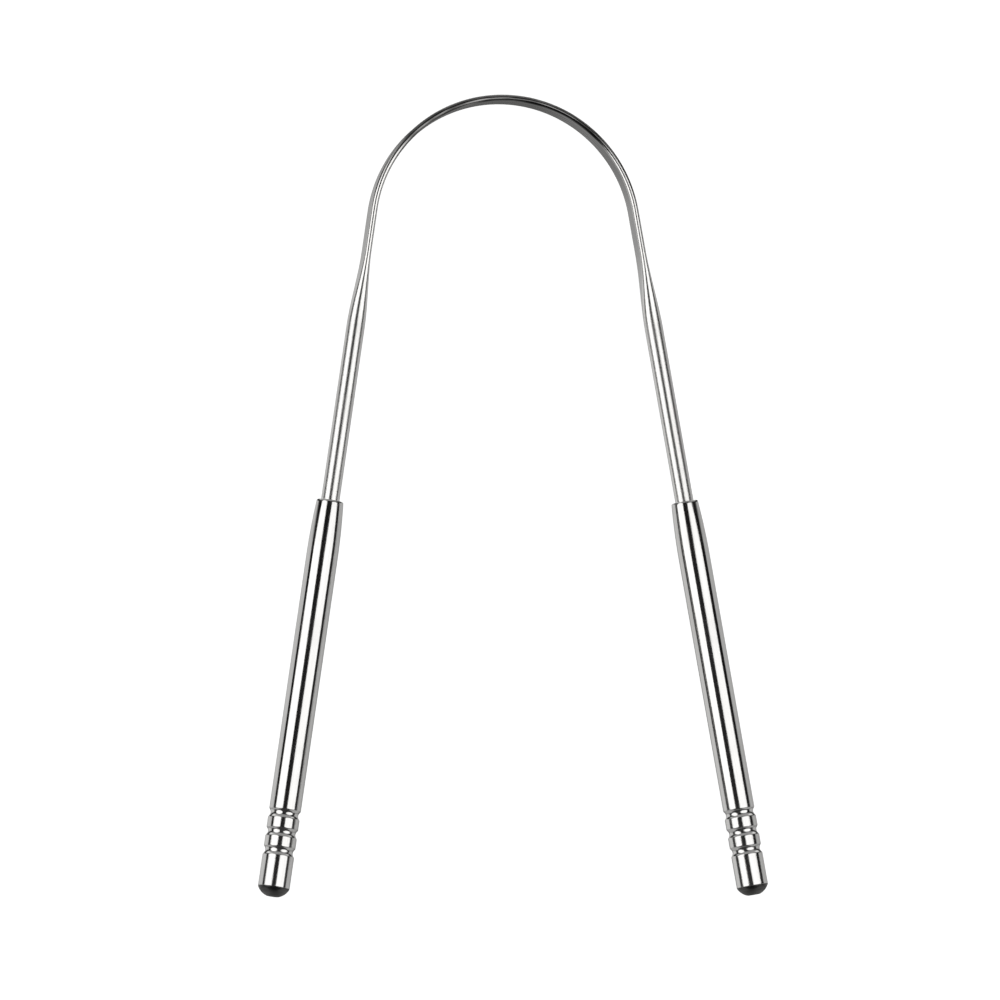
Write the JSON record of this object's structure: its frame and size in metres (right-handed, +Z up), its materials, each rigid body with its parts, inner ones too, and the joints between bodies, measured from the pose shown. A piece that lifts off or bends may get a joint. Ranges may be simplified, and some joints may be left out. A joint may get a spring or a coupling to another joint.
{
  "type": "tongue scraper",
  "caption": "U-shaped metal tongue scraper: a wire rolled flat round its arch, with a grooved tube handle swaged on to each end.",
  "frame": {"origin": "on the surface that the scraper lies on, under the middle of its outline", "axes": "+Y towards the arch, along the middle line of the U, +X towards the right handle, +Z up from the surface"},
  "size_m": [0.0978, 0.1526, 0.006],
  "materials": {
    "bow_steel": "gloss",
    "handle_steel": "polished",
    "plug_steel": "gloss"
  },
  "bodies": {
    "root": {"scraper_bow": "bow_steel", "left_handle_sleeve": "handle_steel", "right_handle_sleeve": "handle_steel", "left_end_plug": "plug_steel", "right_end_plug": "plug_steel"}
  },
  "joints": []
}
